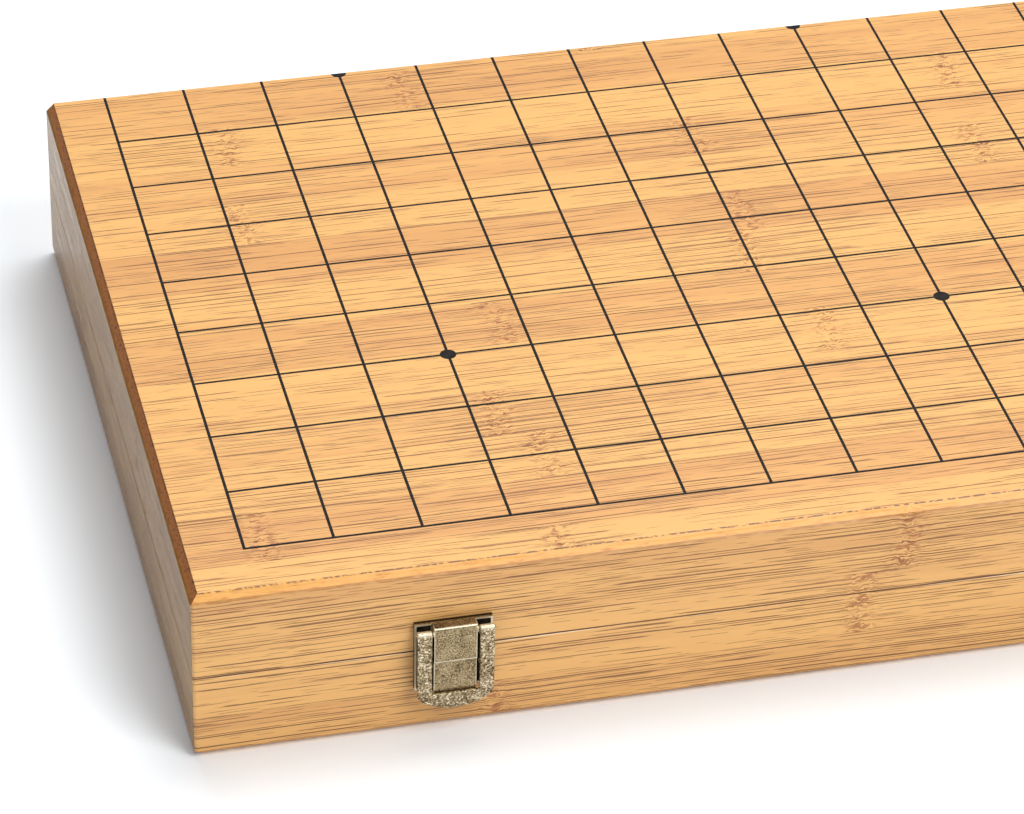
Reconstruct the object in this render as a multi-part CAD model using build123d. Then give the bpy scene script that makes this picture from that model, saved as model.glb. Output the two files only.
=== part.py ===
from build123d import *
import math
import os

# A folding board game case: two shallow boxes hinged along the middle of the board.
# Each outer face is half of the playing surface, and each box holds one stone drawer.
# Frame: millimetres, +Z up, origin at the middle of the closed case's resting face.
# The latches are on the front (-Y), the fold is at the back (+Y), the drawers open to +X.
# A half is modelled with z measured outwards from the seam between the halves.

os.makedirs("parts", exist_ok=True)

# Playing surface of one half
grid_pitch_x = 22.0  # between the lines that run to the fold
grid_pitch_y = 23.7  # between the lines that run along the fold
grid_lines_x = 19
grid_rows = 9  # rows from the first line to the fold, which is the middle line
line_width = 0.78
line_depth = 0.3
star_radius = 2.15
star_first = 3  # line index of the first star point
star_step = 6
side_margin = 14.1  # outer line to the bevel, at both ends
front_margin = 15.0  # first line to the bevel

# Build-up of one half, from the seam outwards
seam_gap = 0.2  # between the closed halves
recess_depth = 1.7
inner_panel_thickness = 2.6
pocket_height = 15.0
core_thickness = 4.4
play_veneer_thickness = 0.6

# Rails and edges
rail_width = 11.0  # with its edge veneer
edge_veneer_thickness = 0.5
groove_depth = 4.0
groove_fit = 0.1  # left at the bottom of the inner panel's grooves
bevel = 2.2
seam_ease = 0.1
corner_radius = 1.0

# Drawer
drawer_side_gap = 0.5
drawer_lift_gap = 0.3
drawer_rear_gap = 0.4
drawer_front_thickness = 9.0
drawer_wall_thickness = 7.0
drawer_bottom_thickness = 2.0
drawer_front_ease = 0.5
magnet_radius = 4.0
magnet_thickness = 3.0
magnet_fit = 0.05

# Knob and its screw
knob_base_radius = 4.0
knob_base_thickness = 0.8
knob_neck_radius = 2.2
knob_head_radius = 5.0
knob_head_thickness = 4.0
knob_stand = 9.0  # from the drawer front to the knob's face
knob_head_round = 1.4
knob_screw_radius = 1.5
knob_screw_grip = 6.0  # inside the knob
knob_screw_head_radius = 2.8
knob_screw_head_height = 1.6
knob_screw_fit = 0.05
knob_screw_way = 0.1  # round the screw in the drawer front

# Rubber feet, on the inner panels, which carry the unfolded board
foot_radius = 6.0
foot_stand = 1.6  # beyond the seam face
foot_round = 0.6
foot_inset = 14.0  # from the recess walls to the foot's axis
foot_stagger = 18.0  # the lower feet stand this much further in along X

# Hinges
hinge_from_end = 64.3
hinge_length = 34.0
hinge_leaf_width = 9.5  # on the wood
hinge_leaf_thickness = 1.0
hinge_leaf_fit = 0.1
hinge_axis_out = 0.15  # from the back faces to the axis
knuckle_radius = 1.5
knuckle_gap = 0.15
knuckle_relief = 0.3  # between a knuckle and the other leaf
knuckle_notch = 0.4  # between a knuckle and the wood
hinge_pin_radius = 0.6
hinge_pin_fit = 0.05
hinge_screw_spacing = 20.0
hinge_screw_from_back = 5.2
hinge_screw_radius = 0.95
hinge_screw_head_radius = 1.9
hinge_screw_length = 9.0
screw_fit = 0.05

# Latches: sizes along X are from the latch's middle, z from the seam, depth from the front face
latch_from_end = 64.05
plate_width = 19.4
plate_top = 8.95
plate_bottom = 11.0
plate_thickness = 0.6
lip_height = 1.4
lip_thickness = 0.5
strip_width = 10.6
strip_thickness = 0.7
strip_bend = 0.8
flap_depth = 4.0
flap_overhang = 1.3
keeper_depth = 3.45
keeper_gap = 0.5  # between the flap's end and the keeper's end
keeper_fold_drop = 0.8  # the keeper folds this much below its plate
bail_inset = 0.1  # from the plates' sides to the bail's
bail_arm_width = 3.7
bail_thickness = 0.8
bail_depth = 4.6
bail_window_drop = 10.6
bail_bottom_drop = 15.3
bail_bottom_radius = 14.5
bail_corner_radius = 3.0
bail_edge_round = 0.2
bail_barrel_radius = 1.0
bail_pin_z = 7.3
bail_pin_radius = 0.45
bail_pin_fit = 0.05
bail_pin_end = 0.25
ear_radius = 0.8
ear_thickness = 0.4
ear_gap = 0.15  # between an ear and the barrel beside it
latch_screw_z = 4.4
latch_screw_radius = 0.8
latch_screw_head_radius = 1.3
latch_screw_head_height = 0.6
latch_screw_length = 7.0

# Overall sizes
case_length = (grid_lines_x - 1) * grid_pitch_x + 2 * (side_margin + bevel)
case_depth = grid_rows * grid_pitch_y + front_margin + bevel
left, right = -case_length / 2, case_length / 2
front, back = -case_depth / 2, case_depth / 2

# Levels of one half, from the seam
seam_face = seam_gap / 2
panel_low = seam_face + recess_depth
pocket_low = panel_low + inner_panel_thickness
pocket_top = pocket_low + pocket_height
core_top = pocket_top + core_thickness
half_height = core_top + play_veneer_thickness

# Inside faces of the edge veneers and of the rails
veneer_left, veneer_right = left + edge_veneer_thickness, right - edge_veneer_thickness
veneer_front, veneer_back = front + edge_veneer_thickness, back - edge_veneer_thickness
rail_left, rail_right = left + rail_width, right - rail_width
rail_front, rail_back = front + rail_width, back - rail_width

first_line_y = front + bevel + front_margin
first_line_x = left + bevel + side_margin
hinge_axis_y = back + hinge_axis_out
hinge_positions = (("left", left + hinge_from_end), ("right", right - hinge_from_end))
latch_positions = (("left", left + latch_from_end), ("right", right - latch_from_end))
pocket_middle = (pocket_low + pocket_top) / 2

nodes = {}


def block(x0, x1, y0, y1, z0, z1):
    return Pos((x0 + x1) / 2, (y0 + y1) / 2, (z0 + z1) / 2) * Box(x1 - x0, y1 - y0, z1 - z0)


def rod_x(radius, x0, x1, y, z):
    return Pos((x0 + x1) / 2, y, z) * Rot(0, 90, 0) * Cylinder(radius, x1 - x0)


def rod_y(radius, y0, y1, x, z):
    return Pos(x, (y0 + y1) / 2, z) * Rot(90, 0, 0) * Cylinder(radius, y1 - y0)


def rod_z(radius, z0, z1, x, y):
    return Pos(x, y, (z0 + z1) / 2) * Cylinder(radius, z1 - z0)


def on_front(x0, x1, depth0, depth1, z0, z1):
    # a block on the front face, with its depths measured outwards
    return block(x0, x1, front - depth1, front - depth0, z0, z1)


def in_case(side, shape):
    # the upper half as modelled, the lower half as its mirror image in the seam
    if side == "lower":
        shape = mirror(shape, about=Plane.XY)
    return Pos(0, 0, half_height) * shape


def half_envelope():
    # the outer form of a half: bevelled play edges, eased seam edges, rounded corners
    form = block(left, right, front, back, seam_face, half_height)
    play_edges = form.edges().group_by(Axis.Z)[-1].sort_by(Axis.Y)[:-1]
    form = chamfer(play_edges, bevel)
    seam_edges = form.edges().group_by(Axis.Z)[0].sort_by(Axis.Y)[:-1]
    form = chamfer(seam_edges, seam_ease)
    plan = block(left, right, front, back, seam_face, half_height)
    plan = fillet(plan.edges().filter_by(Axis.Z).group_by(Axis.Y)[0], corner_radius)
    return form & plan


def grid_pattern():
    # the lines of half a board, with star points, cut off at the fold
    width = (grid_lines_x - 1) * grid_pitch_x + line_width
    runs = []
    for row in range(grid_rows):
        y = first_line_y + row * grid_pitch_y
        runs.append(Pos(0, y) * Rectangle(width, line_width))
    start = first_line_y - line_width / 2
    for line in range(grid_lines_x):
        x = first_line_x + line * grid_pitch_x
        runs.append(Pos(x, (start + back) / 2) * Rectangle(line_width, back - start))
    for line in range(star_first, grid_lines_x, star_step):
        for row in (star_first, star_first + star_step):
            spot = Pos(first_line_x + line * grid_pitch_x, first_line_y + row * grid_pitch_y)
            runs.append(spot * Circle(star_radius))
    board = Pos(0, 0) * Rectangle(case_length, case_depth)
    return (Sketch() + runs) & board


# Hinge seats cut into each half
def hinge_cuts():
    cuts = []
    for _, x in hinge_positions:
        half = hinge_length / 2 + hinge_leaf_fit
        cuts.append(
            block(x - half, x + half, back - hinge_leaf_width - hinge_leaf_fit, back,
                  seam_face, seam_face + hinge_leaf_thickness)
        )
        notch = knuckle_radius + knuckle_notch
        cuts.append(rod_x(notch, x - half, x + half, hinge_axis_y, 0))
        for dx in (-hinge_screw_spacing / 2, hinge_screw_spacing / 2):
            cuts.append(rod_z(hinge_screw_radius + screw_fit, seam_face,
                              seam_face + hinge_screw_length + screw_fit,
                              x + dx, back - hinge_screw_from_back))
    return cuts


# Pilot holes of the latch screws, through the front veneer into the front rail
def latch_cuts():
    cuts = []
    for _, x in latch_positions:
        for dx in latch_screw_offsets():
            cuts.append(rod_y(latch_screw_radius + screw_fit, front,
                              front + latch_screw_length - plate_thickness + screw_fit,
                              x + dx, latch_screw_z))
    return cuts


def latch_screw_offsets():
    middle = (strip_width / 2 + ear_thickness + plate_width / 2 - lip_thickness) / 2
    return (-middle, middle)


def build_case_half():
    envelope = half_envelope()
    part = {}

    pattern = grid_pattern()
    veneer = block(left, right, front, back, core_top, half_height) & envelope
    grooves = extrude(Pos(0, 0, half_height - line_depth) * pattern, amount=line_depth)
    part["play_veneer"] = veneer - grooves
    part["grid_lines"] = grooves

    core = block(veneer_left, veneer_right, veneer_front, veneer_back, pocket_top, core_top)
    part["core_panel"] = core & envelope

    # the inner panel slides into grooves in three rails and lies on the lip at the drawer's end
    panel_edge = groove_depth - groove_fit
    part["inner_panel"] = block(
        rail_left - panel_edge, rail_right + panel_edge,
        rail_front - panel_edge, rail_back + panel_edge,
        panel_low, pocket_low,
    )
    panel_seat = block(
        rail_left - groove_depth, rail_right + groove_depth,
        rail_front - groove_depth, rail_back + groove_depth,
        panel_low, pocket_low,
    )

    front_rail = block(veneer_left, veneer_right, veneer_front, rail_front, seam_face, pocket_top)
    part["front_rail"] = front_rail - panel_seat - latch_cuts()
    back_rail = block(veneer_left, veneer_right, rail_back, veneer_back, seam_face, pocket_top)
    part["back_rail"] = back_rail - panel_seat - hinge_cuts()
    left_rail = block(veneer_left, rail_left, rail_front, rail_back, seam_face, pocket_top)
    magnet_seat = rod_x(magnet_radius + magnet_fit, rail_left - magnet_thickness, rail_left,
                        0, pocket_middle)
    part["left_rail"] = left_rail - panel_seat - magnet_seat
    right_lip = block(rail_right, veneer_right, rail_front, rail_back, seam_face, pocket_low)
    part["right_lip"] = right_lip - panel_seat
    part["case_magnet"] = rod_x(magnet_radius, rail_left - magnet_thickness, rail_left,
                                0, pocket_middle)

    # edge veneers: the front one over the others' ends, the drawer's opening left free
    front_veneer = block(left, right, front, veneer_front, seam_face, core_top) & envelope
    part["front_veneer"] = front_veneer - latch_cuts()
    left_veneer = block(left, veneer_left, veneer_front, veneer_back, seam_face, core_top)
    right_veneer = block(veneer_right, right, veneer_front, veneer_back, seam_face, core_top)
    opening = block(veneer_right, right, rail_front, rail_back, pocket_low, pocket_top)
    back_veneer = block(left, right, veneer_back, back, seam_face, core_top)
    edges = [
        left_veneer & envelope,
        (right_veneer - opening) & envelope,
        (back_veneer & envelope) - hinge_cuts(),
    ]
    part["side_veneers"] = Compound(children=[piece.solid() for piece in edges])

    return part


def build_feet(stagger):
    # four feet in the recess, staggered so that they pass the other half's when it closes
    foot_x = rail_right - foot_inset - stagger
    foot_y = rail_back - foot_inset
    foot = rod_z(foot_radius, seam_face - foot_stand, panel_low, 0, 0)
    foot = fillet(foot.edges().sort_by(Axis.Z)[0], foot_round)
    spots = [(x, y) for x in (-foot_x, foot_x) for y in (-foot_y, foot_y)]
    return Compound(children=[(Pos(x, y) * foot).solid() for x, y in spots])


def build_drawer():
    part = {}
    y0, y1 = rail_front + drawer_side_gap, rail_back - drawer_side_gap
    z0, z1 = pocket_low + drawer_lift_gap, pocket_top - drawer_lift_gap
    x0 = rail_left + drawer_rear_gap
    front_face = right - drawer_front_thickness
    floor = z0 + drawer_bottom_thickness

    face = block(front_face, right, y0, y1, z0, z1)
    face = chamfer(face.faces().sort_by(Axis.X)[-1].edges(), drawer_front_ease)
    screw_way = rod_x(knob_screw_radius + knob_screw_way, front_face, right, 0, pocket_middle)
    part["drawer_front"] = face - screw_way
    part["drawer_bottom"] = block(x0, front_face, y0, y1, z0, floor)
    part["drawer_side_front"] = block(x0, front_face, y0, y0 + drawer_wall_thickness, floor, z1)
    part["drawer_side_back"] = block(x0, front_face, y1 - drawer_wall_thickness, y1, floor, z1)
    rear = block(x0, x0 + drawer_wall_thickness, y0 + drawer_wall_thickness,
                 y1 - drawer_wall_thickness, floor, z1)
    seat = rod_x(magnet_radius + magnet_fit, x0, x0 + magnet_thickness, 0, pocket_middle)
    part["drawer_back"] = rear - seat
    part["drawer_magnet"] = rod_x(magnet_radius, x0, x0 + magnet_thickness, 0, pocket_middle)

    head_start = right + knob_stand - knob_head_thickness
    head = rod_x(knob_head_radius, head_start, right + knob_stand, 0, pocket_middle)
    head = fillet(head.edges().filter_by(GeomType.CIRCLE), knob_head_round)
    knob = head + rod_x(knob_neck_radius, right, head_start + knob_head_round, 0, pocket_middle)
    knob += rod_x(knob_base_radius, right, right + knob_base_thickness, 0, pocket_middle)
    bore = rod_x(knob_screw_radius + knob_screw_fit, right,
                 right + knob_screw_grip + knob_screw_fit, 0, pocket_middle)
    part["drawer_knob"] = knob - bore
    screw = rod_x(knob_screw_radius, front_face, right + knob_screw_grip, 0, pocket_middle)
    screw += rod_x(knob_screw_head_radius, front_face - knob_screw_head_height, front_face,
                   0, pocket_middle)
    part["drawer_knob_screw"] = screw
    return part


# Hinges, modelled about the seam: the lower leaf holds the outer knuckles and the pin
def knuckle_spans(x):
    third = hinge_length / 3
    start = x - hinge_length / 2
    outer = [(start, start + third), (start + 2 * third, start + hinge_length)]
    middle = [(start + third + knuckle_gap, start + 2 * third - knuckle_gap)]
    return outer, middle


def build_leaf(x, own, other):
    # z positive for the upper leaf: the lower one is mirrored afterwards
    low, high = seam_face, seam_face + hinge_leaf_thickness
    leaf = block(x - hinge_length / 2, x + hinge_length / 2, back - hinge_leaf_width,
                 hinge_axis_y, low, high)
    for x0, x1 in other:
        leaf -= rod_x(knuckle_radius + knuckle_relief, x0 - knuckle_gap, x1 + knuckle_gap,
                      hinge_axis_y, 0)
    for x0, x1 in own:
        leaf += rod_x(knuckle_radius, x0, x1, hinge_axis_y, 0)
    leaf -= rod_x(hinge_pin_radius + hinge_pin_fit, x - hinge_length, x + hinge_length,
                  hinge_axis_y, 0)
    for dx in (-hinge_screw_spacing / 2, hinge_screw_spacing / 2):
        leaf -= hinge_screw(x + dx, screw_fit)
    return leaf


def hinge_screw(x, fit):
    # countersunk head flush with the leaf, shank into the rail
    y = back - hinge_screw_from_back
    head_height = min(hinge_screw_head_radius - hinge_screw_radius, hinge_leaf_thickness)
    head = Pos(x, y, seam_face + head_height / 2) * Cone(
        hinge_screw_head_radius + fit, hinge_screw_head_radius - head_height + fit, head_height
    )
    return head + rod_z(hinge_screw_radius + fit, seam_face, seam_face + hinge_screw_length, x, y)


# Latches: a flap plate on the upper half, a keeper plate on the lower, and a swinging bail
def folded_strip(x, depth, root_z, fold_z, end_z):
    # a strip that runs on from its plate, leaves the wood at the fold and turns back
    half = strip_width / 2
    root = on_front(x - half, x + half, 0, plate_thickness, *sorted((root_z, fold_z)))
    inner_z = fold_z - math.copysign(strip_thickness, fold_z)
    outline = Polygon(
        (front, fold_z), (front - depth, fold_z), (front - depth, end_z),
        (front - depth + strip_thickness, end_z), (front - depth + strip_thickness, inner_z),
        (front, inner_z), align=None,
    )
    outer = outline.vertices().sort_by_distance((front - depth, fold_z, 0))[0]
    outline = fillet(outer, strip_bend)
    inner = outline.vertices().sort_by_distance((front - depth + strip_thickness, inner_z, 0))[0]
    outline = fillet(inner, strip_bend - strip_thickness)
    return root + Pos(x, 0, 0) * extrude(Plane.YZ * outline, amount=half, both=True)


def tray_plate(x, z0, z1, lip_z):
    # a stamped plate with raised lips at both sides and along one edge
    half = plate_width / 2
    edge = half - lip_thickness
    plate = on_front(x - half, x + half, 0, plate_thickness, z0, z1)
    for side in (-1, 1):
        a, b = sorted((x + side * edge, x + side * half))
        plate += on_front(a, b, 0, lip_height, z0, z1)
    inner = lip_z - math.copysign(lip_thickness, lip_z)
    low, high = sorted((lip_z, inner))
    return plate + on_front(x - half, x + half, 0, lip_height, low, high)


def latch_screws(x, z):
    screws = []
    for dx in latch_screw_offsets():
        head = rod_y(latch_screw_head_radius,
                     front - plate_thickness - latch_screw_head_height,
                     front - plate_thickness, x + dx, z)
        head = fillet(head.edges().sort_by(Axis.Y)[0], latch_screw_head_height / 2)
        shank = rod_y(latch_screw_radius, front - plate_thickness,
                      front - plate_thickness + latch_screw_length, x + dx, z)
        screws.append((head + shank).solid())
    return screws


def latch_screw_ways(x, z):
    return [
        rod_y(latch_screw_radius + screw_fit, front - plate_thickness, front, x + dx, z)
        for dx in latch_screw_offsets()
    ]


bail_width = plate_width - 2 * bail_inset
bail_pin_y = front - bail_depth + bail_barrel_radius
barrel_inner = bail_width / 2 - bail_arm_width
ear_outer = barrel_inner - ear_gap


def build_flap_plate(x):
    plate = tray_plate(x, seam_face, plate_top, plate_top)
    plate += folded_strip(x, flap_depth, seam_face, plate_top, -flap_overhang)
    for side in (-1, 1):
        a, b = sorted((x + side * (ear_outer - ear_thickness), x + side * ear_outer))
        ear = block(a, b, bail_pin_y, front, bail_pin_z - ear_radius, bail_pin_z + ear_radius)
        plate += ear + rod_x(ear_radius, a, b, bail_pin_y, bail_pin_z)
    reach = plate_width / 2
    for side in (-1, 1):
        a, b = sorted((x + side * strip_width / 2, x + side * reach))
        plate -= rod_x(bail_pin_radius + bail_pin_fit, a, b, bail_pin_y, bail_pin_z)
    return plate - latch_screw_ways(x, latch_screw_z)


def build_keeper_plate(x):
    plate = tray_plate(x, -plate_bottom, -seam_face, -plate_bottom)
    plate += folded_strip(x, keeper_depth, -seam_face, -plate_bottom - keeper_fold_drop,
                          -flap_overhang - keeper_gap)
    return plate - latch_screw_ways(x, -latch_screw_z)


def build_bail(x):
    # a U-shaped loop with a barrel at the head of each arm and an arched foot
    half = bail_width / 2
    arch_z = bail_bottom_radius - bail_bottom_drop
    inner, outer = bail_depth - bail_thickness, bail_depth
    loop = on_front(x - half, x + half, inner, outer, arch_z, bail_pin_z)
    foot = on_front(x - half, x + half, inner, outer, -bail_bottom_drop, arch_z)
    foot &= rod_y(bail_bottom_radius, front - outer, front - inner, x, arch_z)
    corners = foot.edges().filter_by(Axis.Y).sort_by(Axis.Z)[:2]
    loop += fillet(corners, bail_corner_radius)
    loop -= on_front(x - barrel_inner, x + barrel_inner, inner, outer,
                     -bail_window_drop, bail_pin_z)
    rim = loop.faces().sort_by(Axis.Y)[0].edges()
    rim = rim.filter_by(lambda edge: edge.center().Z < bail_pin_z - bail_edge_round)
    loop = chamfer(rim, bail_edge_round)
    for side in (-1, 1):
        a, b = sorted((x + side * barrel_inner, x + side * half))
        loop += rod_x(bail_barrel_radius, a, b, bail_pin_y, bail_pin_z)
    bore = rod_x(bail_pin_radius + bail_pin_fit, x - half, x + half, bail_pin_y, bail_pin_z)
    return loop - bore


def build_bail_pins(x):
    pins = []
    for side in (-1, 1):
        a, b = sorted((x + side * (ear_outer - ear_thickness),
                       x + side * (bail_width / 2 + bail_pin_end)))
        pins.append(rod_x(bail_pin_radius, a, b, bail_pin_y, bail_pin_z).solid())
    return pins


def add_case_halves():
    pieces = build_case_half() | build_drawer()
    for side, stagger in (("upper", 0), ("lower", foot_stagger)):
        for name, shape in pieces.items():
            nodes[f"{side}_{name}"] = in_case(side, shape)
        nodes[f"{side}_feet"] = in_case(side, build_feet(stagger))


def add_hinges():
    screws = {"upper": [], "lower": []}
    for name, x in hinge_positions:
        outer, middle = knuckle_spans(x)
        nodes[f"{name}_hinge_upper_leaf"] = in_case("upper", build_leaf(x, middle, outer))
        nodes[f"{name}_hinge_lower_leaf"] = in_case("lower", build_leaf(x, outer, middle))
        pin = rod_x(hinge_pin_radius, x - hinge_length / 2, x + hinge_length / 2, hinge_axis_y, 0)
        nodes[f"{name}_hinge_pin"] = in_case("upper", pin)
        for side in ("upper", "lower"):
            for dx in (-hinge_screw_spacing / 2, hinge_screw_spacing / 2):
                screws[side].append(in_case(side, hinge_screw(x + dx, 0)).solid())
    for side, group in screws.items():
        nodes[f"hinge_{side}_screws"] = Compound(children=group)


def add_latches():
    upper_screws, lower_screws = [], []
    for name, x in latch_positions:
        nodes[f"{name}_latch_flap_plate"] = in_case("upper", build_flap_plate(x))
        nodes[f"{name}_latch_keeper_plate"] = in_case("upper", build_keeper_plate(x))
        nodes[f"{name}_latch_bail"] = in_case("upper", build_bail(x))
        pins = [in_case("upper", pin).solid() for pin in build_bail_pins(x)]
        nodes[f"{name}_latch_pins"] = Compound(children=pins)
        upper_screws += [in_case("upper", s).solid() for s in latch_screws(x, latch_screw_z)]
        lower_screws += [in_case("upper", s).solid() for s in latch_screws(x, -latch_screw_z)]
    nodes["latch_upper_screws"] = Compound(children=upper_screws)
    nodes["latch_lower_screws"] = Compound(children=lower_screws)


add_case_halves()
add_hinges()
add_latches()

for name, shape in nodes.items():
    shape.label = name
    export_step(shape, f"parts/{name}.step")

print("nodes", len(nodes))
print("closed case", case_length, case_depth, 2 * half_height)
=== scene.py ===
import math

import bmesh
import bpy
import numpy as np
from mathutils import Matrix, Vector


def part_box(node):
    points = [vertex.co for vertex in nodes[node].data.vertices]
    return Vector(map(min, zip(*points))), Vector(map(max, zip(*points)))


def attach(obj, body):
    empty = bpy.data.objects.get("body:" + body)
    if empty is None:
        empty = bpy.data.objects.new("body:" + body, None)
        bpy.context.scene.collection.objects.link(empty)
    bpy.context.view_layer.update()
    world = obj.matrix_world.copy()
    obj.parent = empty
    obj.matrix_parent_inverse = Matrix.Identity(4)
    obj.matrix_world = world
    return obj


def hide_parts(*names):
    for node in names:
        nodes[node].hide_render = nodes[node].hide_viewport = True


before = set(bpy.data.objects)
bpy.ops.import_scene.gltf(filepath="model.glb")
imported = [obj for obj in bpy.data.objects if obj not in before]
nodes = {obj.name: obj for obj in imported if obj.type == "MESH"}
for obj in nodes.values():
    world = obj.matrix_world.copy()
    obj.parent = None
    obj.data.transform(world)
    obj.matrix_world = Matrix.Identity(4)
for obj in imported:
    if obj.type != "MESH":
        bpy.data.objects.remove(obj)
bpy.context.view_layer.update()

perMetre = 1000.0  # the patterns are worked out in millimetres
print("frame loaded,", len(nodes), "nodes")


def srgb(red, green, blue):
    # screen values 0..255 to the linear colour that a shader wants
    values = np.array([red, green, blue]) / 255
    linear = np.where(values <= 0.04045, values / 12.92, ((values + 0.055) / 1.055) ** 2.4)
    return (*linear.tolist(), 1.0)


# sizes of the closed case in millimetres, read from the frame
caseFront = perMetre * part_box("upper_front_veneer")[0][1]
caseEnd, caseBack = (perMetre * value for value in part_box("upper_side_veneers")[1][:2])
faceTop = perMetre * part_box("upper_play_veneer")[1][2]
bevelWidth = 2.2


# camera, floor and light

cameraView = {
    "place": (-0.35312, -1.00239, 0.73225),
    "sensor": 36.0,
    "lens": 166.49,
    "turn": math.radians(-14.009),  # from looking along +Y
    "down": math.radians(34.967),
    "roll": math.radians(1.266),
    "shift": (-0.01885, 0.0),
    "clip": (0.05, 50.0),
}


def makeCamera(look):
    data = bpy.data.cameras.new("camera")
    data.sensor_width = look["sensor"]
    data.lens = look["lens"]
    data.shift_x, data.shift_y = look["shift"]
    data.clip_start, data.clip_end = look["clip"]
    camera = bpy.data.objects.new("camera", data)
    bpy.context.scene.collection.objects.link(camera)
    turned = Matrix.Rotation(look["turn"], 4, "Z")
    tilted = Matrix.Rotation(math.pi / 2 - look["down"], 4, "X")
    rolled = Matrix.Rotation(look["roll"], 4, "Z")
    camera.matrix_world = Matrix.Translation(look["place"]) @ turned @ tilted @ rolled
    bpy.context.scene.camera = camera


class Finish:
    # a material, with short calls for the shader nodes that work out its pattern

    def __init__(self, name):
        self.material = bpy.data.materials.new(name)
        self.material.use_nodes = True
        self.tree = self.material.node_tree
        self.tree.nodes.clear()
        self.surface = self.add("ShaderNodeBsdfPrincipled")
        output = self.add("ShaderNodeOutputMaterial")
        self.tree.links.new(self.surface.outputs[0], output.inputs[0])

    def add(self, kind, **settings):
        made = self.tree.nodes.new(kind)
        for key, value in settings.items():
            setattr(made, key, value)
        return made

    def put(self, socket, value):
        if isinstance(value, bpy.types.NodeSocket):
            self.tree.links.new(value, socket)
        elif value is not None:
            socket.default_value = value

    def set(self, **values):
        # names of the shader's sockets, written with _ for a space
        for name, value in values.items():
            self.put(self.surface.inputs[name.replace("_", " ")], value)
        return self.material

    def place(self):
        # the point on the object at rest, in millimetres
        point = self.add("ShaderNodeTexCoord").outputs["Object"]
        scaled = self.add("ShaderNodeVectorMath", operation="SCALE")
        self.put(scaled.inputs[0], point)
        scaled.inputs["Scale"].default_value = perMetre
        split = self.add("ShaderNodeSeparateXYZ")
        self.put(split.inputs[0], scaled.outputs[0])
        return split.outputs[0], split.outputs[1], split.outputs[2]

    def math(self, operation, a, b=None, c=None):
        made = self.add("ShaderNodeMath", operation=operation)
        for socket, value in zip(made.inputs, (a, b, c)):
            self.put(socket, value)
        return made.outputs[0]

    def plus(self, a, b):
        return self.math("ADD", a, b)

    def times(self, a, b):
        return self.math("MULTIPLY", a, b)

    def noise(self, x, y, z=0.0, detail=2.0, roughness=0.5):
        spot = self.add("ShaderNodeCombineXYZ")
        for socket, value in zip(spot.inputs, (x, y, z)):
            self.put(socket, value)
        made = self.add("ShaderNodeTexNoise")
        self.put(made.inputs["Vector"], spot.outputs[0])
        made.inputs["Scale"].default_value = 1.0
        made.inputs["Detail"].default_value = detail
        made.inputs["Roughness"].default_value = roughness
        return made.outputs["Fac"]

    def grain(self, along, across, length, width, seed=0.0, detail=2.0, roughness=0.5):
        # noise whose patches are about length by width millimetres
        return self.noise(self.times(along, 1 / length), self.times(across, 1 / width),
                          seed, detail, roughness)

    def centred(self, value, size):
        return self.times(self.plus(value, -0.5), size)

    def step(self, value, low, high, start=0.0, end=1.0):
        made = self.add("ShaderNodeMapRange", interpolation_type="SMOOTHSTEP")
        for name, number in (("From Min", low), ("From Max", high),
                             ("To Min", start), ("To Max", end)):
            self.put(made.inputs[name], number)
        self.put(made.inputs["Value"], value)
        return made.outputs[0]

    def bell(self, distance, width):
        # 1 at no distance, falling smoothly to 0 over about two widths
        ratio = self.times(distance, 1 / width)
        return self.math("EXPONENT", self.times(self.times(ratio, ratio), -1.0))

    def mix(self, factor, a, b):
        made = self.add("ShaderNodeMix", data_type="RGBA")
        self.put(made.inputs[0], factor)
        self.put(made.inputs[6], a)
        self.put(made.inputs[7], b)
        return made.outputs[2]

    def choose(self, factor, a, b):
        made = self.add("ShaderNodeMix", data_type="FLOAT")
        self.put(made.inputs[0], factor)
        self.put(made.inputs[2], a)
        self.put(made.inputs[3], b)
        return made.outputs[0]

    def bump(self, height, distance):
        made = self.add("ShaderNodeBump")
        made.inputs["Strength"].default_value = 1.0
        made.inputs["Distance"].default_value = distance
        self.put(made.inputs["Height"], height)
        return made.outputs[0]


# surfaces worked out on grids

sharpAngle = math.radians(50)
latticeSize = 256


def gridFaces(rows, columns, start, rowsJoin):
    # quads between neighbouring rows of a grid whose columns join round; open ends get a cap
    ahead = rows if rowsJoin else rows - 1
    row, column = np.meshgrid(np.arange(ahead), np.arange(columns), indexing="ij")
    nextRow, nextColumn = (row + 1) % rows, (column + 1) % columns
    quads = np.stack([row * columns + column, row * columns + nextColumn,
                      nextRow * columns + nextColumn, nextRow * columns + column], -1)
    faces = (quads.reshape(-1, 4) + start).tolist()
    if not rowsJoin:
        first = np.arange(columns) + start
        faces += [first[::-1].tolist(), (first + (rows - 1) * columns).tolist()]
    return faces


def makePiece(name, grids, finish, body, stoodFor):
    # each grid is (points in millimetres as rows x columns x 3, whether its rows join round)
    points, faces, start = [], [], 0
    for grid, rowsJoin in grids:
        rows, columns = grid.shape[:2]
        faces += gridFaces(rows, columns, start, rowsJoin)
        points.append(grid.reshape(-1, 3))
        start += rows * columns
    mesh = bpy.data.meshes.new(name)
    mesh.from_pydata((np.concatenate(points) / perMetre).tolist(), [], faces)
    shell = bmesh.new()
    shell.from_mesh(mesh)
    bmesh.ops.recalc_face_normals(shell, faces=shell.faces)
    shell.to_mesh(mesh)
    shell.free()
    mesh.shade_smooth()
    mesh.set_sharp_from_angle(angle=sharpAngle)
    mesh.materials.append(finish)
    piece = bpy.data.objects.new(name, mesh)
    bpy.context.scene.collection.objects.link(piece)
    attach(piece, body)
    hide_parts(*stoodFor)


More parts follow.
